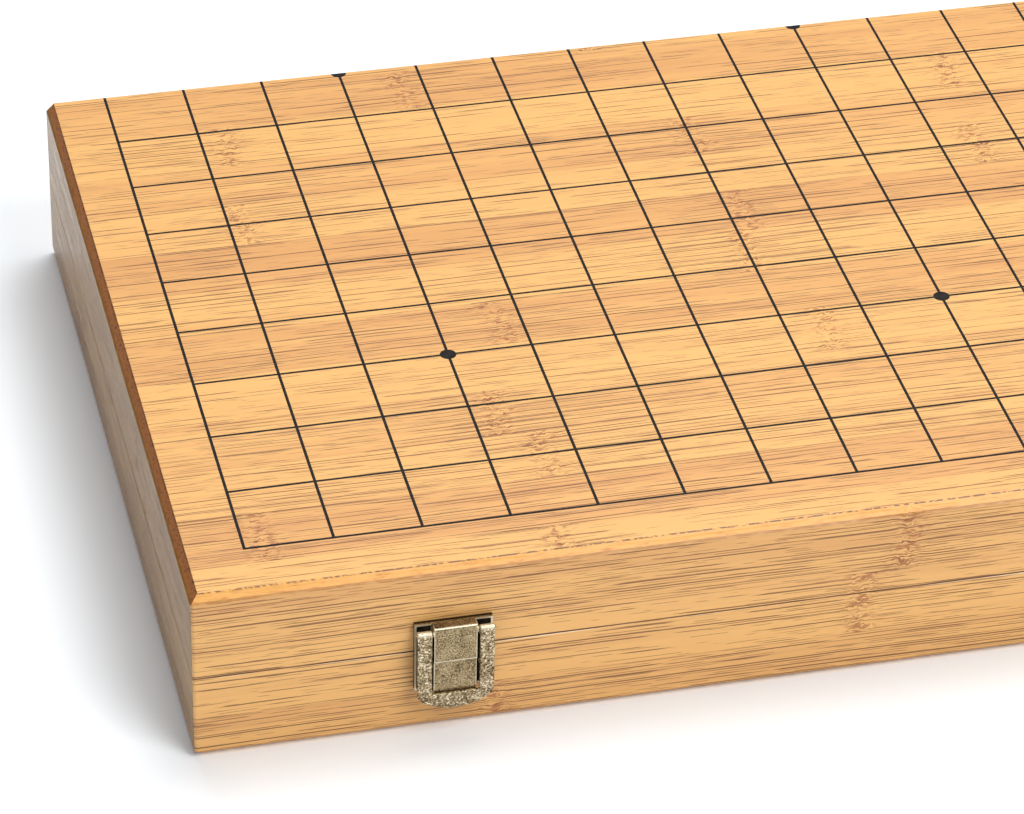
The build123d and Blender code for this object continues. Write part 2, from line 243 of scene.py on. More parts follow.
def lattice(along, across, size, seed):
    # smooth random bumps between -1 and 1: random heights set that size apart, with the points
    # between blended by 3t^2 - 2t^3
    heights = np.random.default_rng(seed).uniform(-1, 1, (latticeSize, latticeSize))
    x, y = along / size, across / size
    column, row = np.floor(x).astype(int), np.floor(y).astype(int)
    s, t = x - column, y - row
    s, t = s * s * (3 - 2 * s), t * t * (3 - 2 * t)

    def at(dx, dy):
        return heights[(column + dx) % latticeSize, (row + dy) % latticeSize]

    low = at(0, 0) * (1 - s) + at(1, 0) * s
    high = at(0, 1) * (1 - s) + at(1, 1) * s
    return low * (1 - t) + high * t


def arc(centre, radius, start, end, count):
    # points of an arc about a centre, from one angle to another in degrees
    angle = np.radians(np.linspace(start, end, count))
    return np.stack([centre[0] + radius * np.cos(angle), centre[1] + radius * np.sin(angle)], -1)


def turned(x, radius, centre, columns=40):
    # a profile of places along X and radii, turned round an axis along X through the centre
    angle = np.linspace(0, 2 * np.pi, columns, endpoint=False)
    spread = radius[:, None] * np.stack([np.cos(angle), np.sin(angle)])[:, None, :]
    along = np.repeat(x[:, None], columns, 1)
    return np.stack([along, centre[0] + spread[0], centre[1] + spread[1]], -1)


# the latch's swinging bail

bailShape = {
    "armWidth": 3.7,
    "thickness": 0.8,
    "windowDrop": 10.6,  # window's lower edge below the seam
    "bottomRadius": 14.5,
    "cornerRadius": 3.0,
    "windowRound": 0.5,
    "edgeRound": 0.26,
    "barrelRadius": 1.0,
    "barrelRound": 0.25,
    "bore": 0.5,
    "dent": 0.025,
    "dentSize": 0.55,
    "dentSeed": 4,
    "dentLayer": 2,  # keeps the dents of the front and the back apart
    "dentStart": 20,
    # points along the arm, the corner, the bottom arch and the window's edge
    "armSteps": 60,
    "cornerSteps": 24,
    "archSteps": 40,
    # points round the bar's section, on each rounded corner and on each broad side
    "turnSteps": 5,
    "flatSteps": 10,
    "barrelSteps": 6,
}


def bailGrids(node, shape):
    # The loop is a rounded bar between two outlines: at each step along it the section runs
    # from the window's edge to the outer edge, with its four corners rounded. A dent pattern
    # moves each point a little along its normal. The barrels are turned about the pin.
    low, high = (perMetre * np.array(corner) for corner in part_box(node))
    middle, half = (low[0] + high[0]) / 2, (high[0] - low[0]) / 2
    seam = faceTop / 2
    pin = high[2] - shape["barrelRadius"]
    frontY = low[1]
    big, corner, small = shape["bottomRadius"], shape["cornerRadius"], shape["windowRound"]
    arch = low[2] + big
    corners = half - corner
    cornerZ = arch - math.sqrt((big - corner) ** 2 - corners ** 2)
    tangent = math.degrees(math.atan2(cornerZ - arch, corners))
    straight = np.linspace(0, 1, shape["armSteps"])[:, None]
    outer = np.concatenate([
        (half, pin) * (1 - straight) + np.array([half, cornerZ]) * straight,
        arc((corners, cornerZ), corner, 0, tangent, shape["cornerSteps"])[1:],
        arc((0, arch), big, tangent, -90, shape["archSteps"])[1:],
    ])
    window = seam - shape["windowDrop"]
    inside = half - shape["armWidth"]
    bottom = np.linspace(0, 1, shape["archSteps"])[1:, None]
    inner = np.concatenate([
        (inside, pin) * (1 - straight) + np.array([inside, window + small]) * straight,
        arc((inside - small, window + small), small, 0, -90, shape["cornerSteps"])[1:],
        (inside - small, window) * (1 - bottom) + np.array([0.0, window]) * bottom,
    ])
    mirror = np.array([-1.0, 1.0])
    outer = np.concatenate([outer * mirror, outer[-2::-1]])
    inner = np.concatenate([inner * mirror, inner[-2::-1]])

    turn = np.linspace(0, 90, shape["turnSteps"])
    flat = np.linspace(1, -1, shape["flatSteps"] + 2)[1:-1]
    narrow = np.array([0.5, 0.0, -0.5])
    one, level, upright = np.ones_like(turn), np.ones_like(flat), np.ones_like(narrow)
    across = np.concatenate([one, flat, -one, -upright, -one, -flat, one, upright])
    depth = np.concatenate([one, level, one, narrow, -one, -level, -one, -narrow])
    angle = np.radians(np.concatenate([turn, 90 * level, turn + 90, 180 * upright,
                                       turn + 180, 270 * level, turn + 270, 360 * upright]))
    span = outer - inner
    width = np.linalg.norm(span, axis=1, keepdims=True)
    direction = span / width
    edge = shape["edgeRound"]
    travelled = np.concatenate([[0], np.cumsum(np.linalg.norm(np.diff(outer, axis=0), axis=1))])
    out = (width / 2 - edge) * across + edge * np.cos(angle)
    layer = out + depth * shape["dentLayer"] + shape["dentStart"]
    dents = lattice(travelled[:, None], layer, shape["dentSize"], shape["dentSeed"])
    dents = dents * shape["dent"] - shape["dent"]
    out = out + dents * np.cos(angle)
    thick = shape["thickness"] / 2
    forward = (thick - edge) * depth + edge * np.sin(angle) + dents * np.sin(angle)
    centre = (outer + inner) / 2
    flatX = centre[:, :1] + direction[:, :1] * out
    flatZ = centre[:, 1:] + direction[:, 1:] * out
    loop = np.stack([middle + flatX, frontY + thick - forward, flatZ], -1)

    soft, steps = shape["barrelRound"], shape["barrelSteps"]
    radius, bore = shape["barrelRadius"], shape["bore"]
    grids = [(loop, False)]
    for side in (-1, 1):
        a, b = sorted((middle + side * inside, middle + side * half))
        left = arc((a + soft, radius - soft), soft, 180, 90, steps)
        right = arc((b - soft, radius - soft), soft, 90, 0, steps)
        profile = np.concatenate([[(a, bore)], left, right, [(b, bore)]])
        barrel = turned(profile[:, 0], profile[:, 1], (frontY + radius, pin))
        grids.append((barrel, True))
    return grids


def makeBails(finish):
    for end in ("left", "right"):
        node = end + "_latch_bail"
        makePiece(end + "_cast_bail", bailGrids(node, bailShape), finish, end + "_bail",
                  [node])


# hinge screws with crossed slots

screwShape = {
    "headRadius": 1.9,
    "headDepth": 0.95,
    "shankRadius": 0.95,
    "spacing": 20.0,
    "slotWidth": 0.44,
    "slotReach": 0.70,  # share of the head's radius
    "slotDepth": 0.5,
    "slotSideFade": 0.08,  # shares of the head's radius
    "slotEndFade": 0.10,
    "edgeDrop": 0.06,
    "edgePower": 8,
    "pointLength": 2.0,
    "pointMiddle": 0.9,  # from the tip
    "pointShare": 0.6,  # of the shank's radius, at the point's middle
    "tipRadius": 0.06,
    "firstRing": 0.02,
    "rings": 26,
    "columns": 64,
}


def screwGrid(centre, side, length, shape):
    # Rings round the axis, given by radius and height. On the head the height is
    # -drop r^power - depth * slot, where slot is 1 inside either arm of the cross and fades at its
    # sides; then come the sunk cone, the shank and its point. Side is 1 for a head facing up.
    share, angle = np.meshgrid(np.linspace(shape["firstRing"], 1, shape["rings"]),
                               np.linspace(0, 2 * np.pi, shape["columns"], endpoint=False),
                               indexing="ij")
    u, v = share * np.cos(angle), share * np.sin(angle)
    half = shape["slotWidth"] / shape["headRadius"] / 2

    def arm(a, b):
        beside = (half - np.abs(a)) / shape["slotSideFade"] + 0.5
        beyond = (shape["slotReach"] - np.abs(b)) / shape["slotEndFade"] + 0.5
        return np.clip(beside, 0, 1) * np.clip(beyond, 0, 1)

    slot = np.maximum(arm(u, v), arm(v, u))
    drop = shape["edgeDrop"] * share ** shape["edgePower"] + shape["slotDepth"] * slot
    head = np.stack([u * shape["headRadius"], v * shape["headRadius"], -drop], -1)
    shank = shape["shankRadius"]
    below = [(shank, shape["headDepth"]), (shank, length - shape["pointLength"]),
             (shank * shape["pointShare"], length - shape["pointMiddle"]),
             (shape["tipRadius"], length)]
    rows = [np.stack([radius * np.cos(angle[0]), radius * np.sin(angle[0]),
                      np.full(angle.shape[1], -depth)], -1) for radius, depth in below]
    grid = np.concatenate([head, np.stack(rows)])
    return np.array(centre) + grid * np.array([1.0, side, side])


def makeHingeScrews(finish):
    for half, side in (("lower", 1.0), ("upper", -1.0)):
        node = "hinge_" + half + "_screws"
        low, high = (perMetre * np.array(corner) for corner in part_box(node))
        outer = high[0] - screwShape["headRadius"]
        y = (low[1] + high[1]) / 2
        z = high[2] if side > 0 else low[2]
        places = [sign * (outer - step) for sign in (-1, 1) for step in (0, screwShape["spacing"])]
        grids = [(screwGrid((x, y, z), side, high[2] - low[2], screwShape), False)
                 for x in places]
        makePiece("slotted_hinge_screws_" + half, grids, finish, half + "_case",
                  [node])


# bamboo

bamboo = {
    "stripWidth": 19.7,
    "light": srgb(231, 177, 106),
    "dark": srgb(209, 151, 92),
    "fibre": srgb(96, 52, 26),
    "scar": srgb(150, 78, 44),
    # pale is the colour of the painted highlight under the seam
    "pale": srgb(250, 226, 190),
    "leftShade": 0.55,  # painted shade: the left end is darkened to this share and the other sides to sideShade
    "sideShade": 0.86,
    # lines of dark fibre: spacing, half thickness, length, threshold and strength
    "hairs": [(2.3, 0.16, 34.0, 0.55, 1.0), (1.3, 0.12, 24.0, 0.56, 0.85),
              (0.8, 0.09, 10.0, 0.57, 0.65)],
    "hairFade": 0.10,
    "hairEdge": 0.05,
    "laneSpread": 0.6,  # where in its lane a line may lie: share of the lane, and from where
    "laneStart": 0.2,
    # length and width of the patches of each kind of unevenness
    "driftPatch": (120.0, 34.0),
    "curlPatch": (2.6, 2.2),
    "silkPatch": (46.0, 0.55),
    "bandPatch": (150.0, 5.0),
    "densePatch": (70.0, 9.0),
    "scarPatch": (2.4, 0.8),
    "grainWander": 3.0,  # how far the fibres drift sideways
    "curlReach": 3.4,
    # how much each adds to the number of dark fibres
    "fibreGain": 0.12,
    "denseGain": 0.30,
    "nodeGain": 0.05,
    # how much each adds to the tone
    "toneGain": 0.75,
    "bandGain": 1.5,
    "silkGain": 1.0,
    "toneRange": (-0.15, 1.15),
    "fibreStrength": 0.82,
    "nodeSpacing": 205.0,  # between the growth rings of one culm
    "nodeSpread": 4.0,
    "nodeReach": 24.0,  # how far from a ring its fibres are denser
    "ringWaves": 0.16,  # per millimetre across the strip
    "ringWander": 11.0,
    "scarRange": (0.52, 0.60),
    "scarStrength": 0.7,
    "scarDepth": 0.8,
    "gapRange": (0.46, 0.36),
    "gapStrength": 0.35,
    "jointEdge": (0.16, 0.02),
    "jointStrength": 0.30,
    "silkHeight": 0.5,
    "roughness": 0.38,
    "relief": 0.00004,
}

# tone 0 light to 1 dark, fibres 0 few to 1 many, and where along the strip a growth ring lies
playStrips = {
    "start": -123.8,
    "lowerShift": 63.0,  # moves the lower half's pattern along
    "strips": [
        (0.10, 0.50, -122.3), (0.90, 0.90, -193.3), (0.25, 0.85, -118.3), (0.50, 0.90, -126.3),
        (0.10, 0.45, -32.7), (0.80, 0.70, -116.3), (0.10, 0.60, -44.3), (1.00, 0.50, -40.3),
        (0.15, 0.40, -172.3), (0.65, 0.45, -43.3), (0.10, 0.30, -169.3), (0.80, 0.40, -116.3),
        (0.30, 0.50, -60.0),
    ],
}
frontStrips = {
    "start": -6.2,
    "width": 18.4,
    "strips": [(0.50, 0.95, -139.6), (0.10, 0.50, -47.3), (0.50, 1.0, -35.0), (0.4, 0.6, 20.0)],
}


def bambooPattern(finish, along, across, layout, look, width=None, seed=0.0):
    # strips side by side, each with its own tone, fibres and growth rings; returns colour,
    # darkness of the fibres and the height of the surface
    width = width or look["stripWidth"]
    place = finish.times(finish.plus(across, -layout["start"] if layout else 0.0), 1 / width)
    number = finish.math("FLOOR", place)
    inside = finish.math("SUBTRACT", place, number)
    split = finish.add("ShaderNodeSeparateColor")
    if layout:
        strips = layout["strips"]
        table = finish.add("ShaderNodeValToRGB")
        table.color_ramp.interpolation = "CONSTANT"
        stops = table.color_ramp.elements
        while len(stops) < len(strips):
            stops.new(0.5)
        for index, (tone, fibres, ring) in enumerate(strips):
            stops[index].position = index / len(strips)
            stops[index].color = (tone, fibres, ring / (2 * caseEnd) + 0.5, 1.0)
        finish.put(table.inputs[0], finish.times(finish.plus(number, 0.5), 1 / len(strips)))
        finish.put(split.inputs[0], table.outputs[0])
    else:
        chance = finish.add("ShaderNodeTexWhiteNoise", noise_dimensions="1D")
        finish.put(chance.inputs["W"], finish.plus(number, seed + 0.5))
        finish.put(split.inputs[0], chance.outputs["Color"])
    tone, fibres, ring = split.outputs[0], split.outputs[1], split.outputs[2]

    # distance to the strip's nearest growth ring, which runs unevenly across it
    ringAt = finish.times(finish.plus(ring, -0.5), 2 * caseEnd)
    half = look["nodeSpacing"] / 2
    fromRing = finish.math("WRAP", finish.math("SUBTRACT", along, ringAt), half, -half)
    wobble = finish.noise(finish.times(across, look["ringWaves"]), finish.times(number, 3.7), seed)
    fromRing = finish.plus(fromRing, finish.centred(wobble, look["ringWander"]))
    near = finish.bell(fromRing, look["nodeSpread"])
    around = finish.bell(fromRing, look["nodeReach"])

    # fibres drift slowly, and curl at a ring
    drift = finish.grain(along, across, *look["driftPatch"], seed, 1.0)
    drift = finish.centred(drift, look["grainWander"])
    curl = finish.grain(along, across, *look["curlPatch"], seed + 5.0)
    curl = finish.centred(curl, look["curlReach"])
    lane = finish.plus(finish.plus(across, drift), finish.times(curl, near))
    lane = finish.plus(lane, finish.times(number, 7.3))

    silk = finish.grain(along, lane, *look["silkPatch"], seed + 1.0, 4.0, 0.62)
    band = finish.grain(along, lane, *look["bandPatch"], seed + 2.0, 2.0)
    dense = finish.grain(along, lane, *look["densePatch"], seed + 3.0, 2.0)
    amount = finish.plus(finish.times(fibres, look["fibreGain"]),
                         finish.centred(dense, look["denseGain"]))
    amount = finish.plus(amount, finish.times(around, look["nodeGain"]))

    def hairs(spacing, thickness, length, threshold, seedShift):
        # one thin line to each lane of this spacing, tapered where its noise fades
        spot = finish.times(lane, 1 / spacing)
        cell = finish.math("FLOOR", spot)
        chance = finish.add("ShaderNodeTexWhiteNoise", noise_dimensions="1D")
        finish.put(chance.inputs["W"], finish.plus(cell, seed + seedShift))
        offset = finish.times(chance.outputs["Value"], look["laneSpread"])
        offset = finish.plus(offset, look["laneStart"])
        away = finish.math("ABSOLUTE", finish.math("SUBTRACT", finish.math("FRACT", spot), offset))
        place = finish.plus(finish.times(along, 1 / length), finish.times(cell, 5.3))
        strength = finish.noise(place, finish.times(cell, 2.7), seed + seedShift, 1.0)
        start = finish.math("SUBTRACT", threshold, amount)
        strength = finish.step(strength, start, finish.plus(start, look["hairFade"]))
        reach = finish.times(strength, thickness)
        beyond = finish.math("SUBTRACT", finish.times(away, spacing), reach)
        line = finish.step(beyond, look["hairEdge"], -look["hairEdge"])
        return finish.times(line, strength)

    darkness = 0.0
    for order, (spacing, thickness, length, threshold, weight) in enumerate(look["hairs"]):
        layer = hairs(spacing, thickness, length, threshold, 11.3 * (order + 1))
        darkness = finish.math("MAXIMUM", finish.times(layer, weight), darkness)

    shade = finish.plus(finish.times(tone, look["toneGain"]),
                        finish.centred(band, look["bandGain"]))
    shade = finish.plus(shade, finish.centred(silk, look["silkGain"]))
    shade = finish.step(shade, *look["toneRange"])
    colour = finish.mix(shade, look["light"], look["dark"])
    colour = finish.mix(finish.times(darkness, look["fibreStrength"]), colour, look["fibre"])

    # the brown scars and pale gaps of a ring
    scarNoise = finish.grain(along, lane, *look["scarPatch"], seed + 21.0, 2.0)
    scar = finish.times(finish.step(scarNoise, *look["scarRange"]), near)
    colour = finish.mix(finish.times(scar, look["scarStrength"]), colour, look["scar"])
    gap = finish.times(finish.step(scarNoise, *look["gapRange"]), near)
    colour = finish.mix(finish.times(gap, look["gapStrength"]), colour, look["light"])

    # a hair of glue between the strips
    joint = finish.math("MINIMUM", inside, finish.math("SUBTRACT", 1.0, inside))
    joint = finish.step(finish.times(joint, width), *look["jointEdge"])
    colour = finish.mix(finish.times(joint, look["jointStrength"]), colour, look["fibre"])

    dents = finish.plus(darkness, finish.times(scar, look["scarDepth"]))
    height = finish.math("SUBTRACT", finish.times(silk, look["silkHeight"]), dents)
    return colour, dents, height


lacquer = {"poreDulling": 0.12, "coatRoughness": 0.16, "refraction": 1.5}


def varnish(finish, colour, dents, height, look, dullness=1.0, coat=0.05, sheen=0.45):
    # clear satin varnish over the bamboo, a little duller in the pores
    rough = finish.plus(finish.times(dents, lacquer["poreDulling"]), look["roughness"] * dullness)
    normal = finish.bump(height, look["relief"])
    return finish.set(Base_Color=colour, Roughness=rough, Normal=normal,
                      IOR=lacquer["refraction"], Specular_IOR_Level=sheen, Coat_Weight=coat,
                      Coat_Roughness=lacquer["coatRoughness"], Coat_IOR=lacquer["refraction"])


bevelLook = {
    "gold": srgb(228, 164, 74),
    "endGrain": srgb(156, 88, 6),
    "glue": srgb(78, 36, 0),
    "fleck": srgb(198, 120, 34),
    "foot": srgb(166, 106, 0),  # where the front layer's edge is cut
    "cutEdge": (0.02, 0.07),
    "fleckPatch": (5.0, 0.6),
    "fleckRange": (0.48, 0.80),
    "fleckLow": (1.0, 0.16),  # from this depth there are more flecks, by this much
    "porePatch": (1.0, 0.6),
    "poreRange": (0.45, 0.75),
    "mitre": 0.1,
    "dotPatch": (1.1, 0.4),
    "dotRange": (0.40, 0.52),
    "lineTop": (0.02, 0.14),
    "lineFoot": (0.42, 0.30),
    "lineStrength": 0.85,
    "stainPatch": (4.0, 1.0),
    "stainRange": (0.30, 0.60, 0.55, 0.95),
    "footEdge": (-0.10, 0.05),
}


def bevelPattern(finish, x, y, z, colour, side):
    # the cut across the layers: golden along the front, dark end grain at the ends
    look = bevelLook
    depth = finish.math("SUBTRACT", faceTop, z) if side == "upper" else z
    cut = finish.step(depth, *look["cutEdge"])
    lowFrom, lowMore = look["fleckLow"]
    fleck = finish.plus(finish.grain(x, depth, *look["fleckPatch"], 3.0, 4.0, 0.65),
                        finish.step(depth, lowFrom, bevelWidth, 0.0, lowMore))
    gold = finish.mix(finish.step(fleck, *look["fleckRange"]), look["gold"], look["fleck"])
    pore = finish.grain(y, depth, *look["porePatch"], 4.0, 3.0)
    end = finish.mix(finish.step(pore, *look["poreRange"]), look["endGrain"], look["glue"])
    toEnd = finish.math("SUBTRACT", caseEnd, finish.math("ABSOLUTE", x))
    toFront = finish.plus(y, -caseFront)
    beyond = finish.math("SUBTRACT", toFront, toEnd)
    inEnd = finish.step(beyond, -look["mitre"], look["mitre"])
    shown = finish.mix(inEnd, gold, end)
    # broken dark lines where the face layers' glue comes out
    dots = finish.grain(finish.plus(x, y), depth, *look["dotPatch"], 9.0, 3.0)
    dots = finish.step(dots, *look["dotRange"])
    line = finish.times(finish.step(depth, *look["lineFoot"]), finish.step(depth, *look["lineTop"]))
    line = finish.times(line, dots)
    shown = finish.mix(finish.times(line, look["lineStrength"]), shown, look["glue"])
    return finish.mix(cut, colour, shown)


def bevelFoot(finish, z, along, colour, look):
    # the cut edge of a thin outer layer, just under the bevel: darker, unevenly stained
    toMiddle = finish.math("ABSOLUTE", finish.plus(z, -faceTop / 2))
    edge = faceTop / 2 - bevelWidth
    darkening = finish.grain(along, z, *look["stainPatch"], 14.0, 3.0)
    cut = finish.step(toMiddle, *(edge + value for value in look["footEdge"]))
    cut = finish.times(cut, finish.step(darkening, *look["stainRange"]))
    return finish.mix(cut, colour, look["foot"])


def playFaceFinish(side):
    finish = Finish(side + "PlayFace")
    x, y, z = finish.place()
    along = x if side == "upper" else finish.plus(x, playStrips["lowerShift"])
    across = y if side == "upper" else finish.math("SUBTRACT", 0.0, y)
    colour, dents, height = bambooPattern(finish, along, across, playStrips, bamboo)
    colour = bevelPattern(finish, x, y, z, colour, side)
    return varnish(finish, colour, dents, height, bamboo)


def coreFinish(side):
    finish = Finish(side + "Core")
    x, y, z = finish.place()
    colour, dents, height = bambooPattern(finish, x, y, None, bamboo, 7.0, 31.0)
    colour = bevelPattern(finish, x, y, z, colour, side)
    return varnish(finish, colour, dents, height, bamboo)


# heights from the middle of the seam, as where a stripe begins and is full, and unevenness as
# the noise that begins and ends it with the strength at each
seamLook = {
    "patch": (30.0, 9.0),
    "upperTop": (0.44, 0.30),
    "upperFoot": (-0.15, -0.12),
    "upperUneven": (0.30, 0.55, 0.55, 0.9),
    "lowerTop": (-0.12, -0.15),
    "lowerFoot": (-0.46, -0.34),
    "lowerUneven": (0.42, 0.66, 0.0, 0.75),
}


def seamShadeAndHighlight(finish, z, along, colour, look):
    # the two edges at the seam: painted shade along the upper one, a painted highlight along the
    # lower one
    above = finish.plus(z, -faceTop / 2)
    uneven = finish.grain(along, z, *seamLook["patch"], 17.0, 3.0)
    upper = finish.times(finish.step(above, *seamLook["upperTop"]),
                         finish.step(above, *seamLook["upperFoot"]))
    upper = finish.times(upper, finish.step(uneven, *seamLook["upperUneven"]))
    lower = finish.times(finish.step(above, *seamLook["lowerFoot"]),
                         finish.step(above, *seamLook["lowerTop"]))
    lower = finish.times(lower, finish.step(uneven, *seamLook["lowerUneven"]))
    colour = finish.mix(upper, colour, look["fibre"])
    return finish.mix(lower, colour, look["pale"])


def frontFinish():
    finish = Finish("frontVeneer")
    x, y, z = finish.place()
    width = frontStrips["width"]
    colour, dents, height = bambooPattern(finish, x, z, frontStrips, bamboo, width, 0.4)
    colour = bevelFoot(finish, z, x, colour, bevelLook)
    # painted shade above the seam and a painted highlight below it
    colour = seamShadeAndHighlight(finish, z, x, colour, bamboo)
    return varnish(finish, colour, dents, height, bamboo)


sideLayer = {"backDepth": 0.6, "leftShadeFade": (1.0, 2.0)}  # from the back, and from the left end over which the painted shade changes


def sideFinish():
    # grain runs along the edge that each veneer covers
    finish = Finish("sideVeneer")
    x, y, z = finish.place()
    atBack = finish.math("GREATER_THAN", y, caseBack - sideLayer["backDepth"])
    along = finish.choose(atBack, y, x)
    width = frontStrips["width"]
    colour, dents, height = bambooPattern(finish, along, z, frontStrips, bamboo, width, 7.7)
    colour = bevelFoot(finish, z, along, colour, bevelLook)
    # painted shade: the colour is darkened to leftShade at the left end and to sideShade on the
    # other sides
    darkening = finish.add("ShaderNodeVectorMath", operation="SCALE")
    finish.put(darkening.inputs[0], colour)
    low, high = (value - caseEnd for value in sideLayer["leftShadeFade"])
    finish.put(darkening.inputs["Scale"], finish.step(x, low, high, bamboo["leftShade"],
                                                  bamboo["sideShade"]))
    return varnish(finish, darkening.outputs[0], dents, height, bamboo, dullness=0.7, coat=0.0,
                   sheen=0.16)


solidWood = {"laneTilt": 0.93, "dullness": 1.25}


def woodFinish(name, along, across, width, seed):
    # solid bamboo: along names the axis of its grain; the other two are added up, so that the
    # strips show on every long face
    finish = Finish(name)
    spot = dict(zip("xyz", finish.place()))
    other = "xyz".replace(along, "").replace(across, "")
    lane = finish.plus(spot[across], finish.times(spot[other], solidWood["laneTilt"]))
    colour, dents, height = bambooPattern(finish, spot[along], lane, None, bamboo, width, seed)
    return varnish(finish, colour, dents, height, bamboo, solidWood["dullness"])


# ink, metal, rubber

inkLook = {
    "black": srgb(20, 19, 20),
    "worn": srgb(42, 36, 32),
    "cloudScale": 0.5,
    "cloudRange": (0.35, 0.75),
    "speckScale": 6.0,
    "roughness": (0.50, 0.66),
    "sheen": 0.15,
    "relief": 0.00001,
}


def inkFinish():
    finish = Finish("lineInk")
    x, y, z = finish.place()
    look = inkLook
    cloud = finish.noise(finish.times(x, look["cloudScale"]), finish.times(y, look["cloudScale"]),
                         0.0, 4.0)
    colour = finish.mix(finish.step(cloud, *look["cloudRange"]), look["black"], look["worn"])
    speck = finish.noise(finish.times(x, look["speckScale"]), finish.times(y, look["speckScale"]),
                         0.0, 2.0)
    return finish.set(Base_Color=colour,
                      Roughness=finish.step(speck, 0.2, 0.8, *look["roughness"]),
                      Specular_IOR_Level=look["sheen"], Normal=finish.bump(speck, look["relief"]))


brassLook = {
    "dark": srgb(76, 60, 40),
    "middle": srgb(166, 146, 110),
    # worn is also the colour of the painted highlights, and the near-black colour after it is that
    # of painted shade
    "worn": srgb(240, 230, 204),
    "paintedShade": srgb(22, 18, 14),
    "cloudScale": 0.3,
    "cloudGain": 0.22,
    "darkFrom": 0.36,
    "paintedHighlightStrength": 0.8,
    "paintedShadeStrength": 0.92,
    "metallic": 0.85,
    "pitDulling": 0.15,
}

# speckle is the size of the pits; coverage and spread are the level where the bright metal
# begins and how softly
plating = {
    "plain": {"speckle": 0.45, "coverage": 0.55, "spread": 0.14, "relief": 0.00002,
              "roughness": 0.34},
    "cast": {"speckle": 0.50, "coverage": 0.54, "spread": 0.10, "relief": 0.00010,
             "roughness": 0.36},
    "latch": {"speckle": 0.38, "coverage": 0.55, "spread": 0.30, "relief": 0.00002,
              "roughness": 0.34},
}


def brassFinish(name, kind, paintedLight=None):
    # antique plating: dark in the pits, rubbed bright on the high spots; the optional function gives
    # how much painted highlight and painted shade each place gets
    finish = Finish(name)
    x, y, z = finish.place()
    look, coat = brassLook, plating[kind]
    size, haze = 1 / coat["speckle"], look["cloudScale"]
    coverage, roughness = coat["coverage"], coat["roughness"]
    pits = finish.noise(*(finish.times(value, size) for value in (x, z, y)), 3.0, 0.7)
    cloud = finish.noise(*(finish.times(value, haze) for value in (x, z, y)), 2.0)
    level = finish.plus(pits, finish.centred(cloud, look["cloudGain"]))
    low = finish.mix(finish.step(level, look["darkFrom"], coverage), look["dark"], look["middle"])
    bright = finish.step(level, coverage, coverage + coat["spread"])
    colour = finish.mix(bright, low, look["worn"])
    if paintedLight:
        paintedHighlight, paintedShade = paintedLight(finish, x, y, z)
        # painted highlight in the worn colour, then painted shade in near black
        colour = finish.mix(finish.times(paintedHighlight, look["paintedHighlightStrength"]), colour, look["worn"])
        colour = finish.mix(finish.times(paintedShade, look["paintedShadeStrength"]), colour, look["paintedShade"])
    rough = finish.step(level, 0.35, 0.65, roughness + look["pitDulling"], roughness)
    return finish.set(Base_Color=colour, Metallic=look["metallic"], Roughness=rough,
                      Normal=finish.bump(pits, coat["relief"]))


latchPaintedLight = {
    "stripHalf": 5.3,  # half the width of the folded strip
    "stripFront": {"flap": 4.0, "keeper": 3.45},  # how far the strip stands from the wood
    "edge": 0.20,
    "bend": 0.5,
    "lipFront": 1.36,  # depth of the lips' front from the wood
    "paintedShadeDepth": 0.85,
    "stripDepth": 1.7,
    "fade": 0.1,
    "lipFade": 0.05,
    "roof": (0.3, 0.1),  # below the top, where the painted shade on the strip begins and is full
    "roofShade": 0.3,
}


def platePaintedLight(node, part):
    # painted highlights along the lips, the folded strip's edges and its bend; painted shade, near
    # black, on the plate behind the bail and on the strip just below its top
    low, high = (perMetre * np.array(corner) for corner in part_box(node))
    look = latchPaintedLight
    middle, outer = float(low[0] + high[0]) / 2, look["stripFront"][part]
    bottom, top = float(low[2]), float(high[2])

    def paintedLight(finish, x, y, z):
        depth = finish.math("SUBTRACT", caseFront, y)
        aside = finish.math("ABSOLUTE", finish.plus(x, -middle))
        fromStrip = finish.plus(aside, -look["stripHalf"])
        onStrip = finish.step(depth, look["stripDepth"], look["stripDepth"] + look["fade"])
        # painted highlight along the folded strip's side edges
        sides = finish.step(finish.math("ABSOLUTE", fromStrip), look["edge"], look["edge"] / 2)
        sides = finish.times(sides, onStrip)
        toFront = finish.plus(depth, -outer)

        def corner(height, reach):
            away = finish.math("POWER", finish.plus(z, -height), 2.0)
            away = finish.plus(away, finish.math("POWER", toFront, 2.0))
            return finish.step(finish.math("SQRT", away), reach, reach * 0.6)

        # painted highlight along the lips' front edges
        lips = finish.step(depth, look["lipFront"] - look["lipFade"], look["lipFront"])
        lips = finish.times(lips, finish.math("SUBTRACT", 1.0, onStrip))
        lips = finish.times(lips, finish.step(fromStrip, 0.0, look["fade"]))
        paintedHighlight = finish.math("MAXIMUM", sides, lips)
        paintedHighlight = finish.math("MAXIMUM", paintedHighlight, corner(bottom, look["edge"] * 1.4))
        paintedHighlight = finish.math("MAXIMUM", paintedHighlight, corner(top, look["bend"]))
        # painted shade, near black, on the plate behind the bail
        paintedShade = finish.step(depth, look["paintedShadeDepth"], look["paintedShadeDepth"] - look["fade"])
        roof = finish.step(z, *(top - value for value in look["roof"]))
        roof = finish.times(finish.times(roof, onStrip), look["roofShade"])
        return paintedHighlight, finish.math("MAXIMUM", paintedShade, roof)

    return paintedLight


barrelHighlight = {"below": (1.1, 0.5), "strength": 0.75}  # below the top, where the painted highlight begins and is full


def barrelTopHighlight(node):
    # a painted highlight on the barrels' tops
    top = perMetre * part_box(node)[1][2]
    low, high = (top - value for value in barrelHighlight["below"])

    def paintedLight(finish, x, y, z):
        return finish.step(z, low, high, 0.0, barrelHighlight["strength"]), 0.0

    return paintedLight


